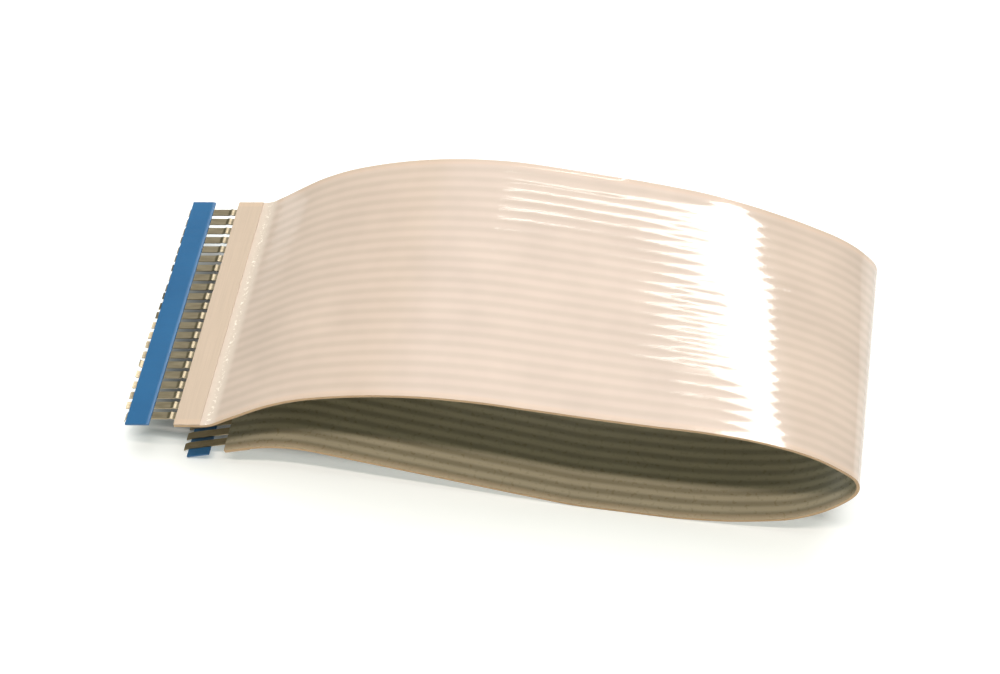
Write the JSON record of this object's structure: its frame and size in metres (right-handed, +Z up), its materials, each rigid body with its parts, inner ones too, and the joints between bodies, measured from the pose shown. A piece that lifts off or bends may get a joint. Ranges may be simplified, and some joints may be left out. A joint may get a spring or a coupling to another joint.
{
  "type": "ribbon cable",
  "caption": "White flat flexible ribbon cable folded into a U, ribbed along its conductors, with bare tinned contact ends on blue stiffener tape",
  "frame": {"origin": "centre of the bounding box in plan, on the floor that the lower run lies on", "axes": "+X along the ribbon toward the fold, +Y across the ribbon's width, +Z up"},
  "size_m": [0.0696, 0.0288, 0.0148],
  "materials": {
    "jacket": "gloss",
    "conductor": "satin",
    "stiffener": "satin",
    "cover_tape": "gloss"
  },
  "bodies": {
    "root": {"jacket": "jacket", "conductor_01": "conductor", "conductor_02": "conductor", "conductor_03": "conductor", "conductor_04": "conductor", "conductor_05": "conductor", "conductor_06": "conductor", "conductor_07": "conductor", "conductor_08": "conductor", "conductor_09": "conductor", "conductor_10": "conductor", "conductor_11": "conductor", "conductor_12": "conductor", "conductor_13": "conductor", "conductor_14": "conductor", "conductor_15": "conductor", "conductor_16": "conductor", "conductor_17": "conductor", "conductor_18": "conductor", "conductor_19": "conductor", "conductor_20": "conductor", "conductor_21": "conductor", "conductor_22": "conductor", "upper_stiffener": "stiffener", "lower_stiffener": "stiffener", "upper_cover_tape": "cover_tape", "lower_cover_tape": "cover_tape"}
  },
  "joints": []
}
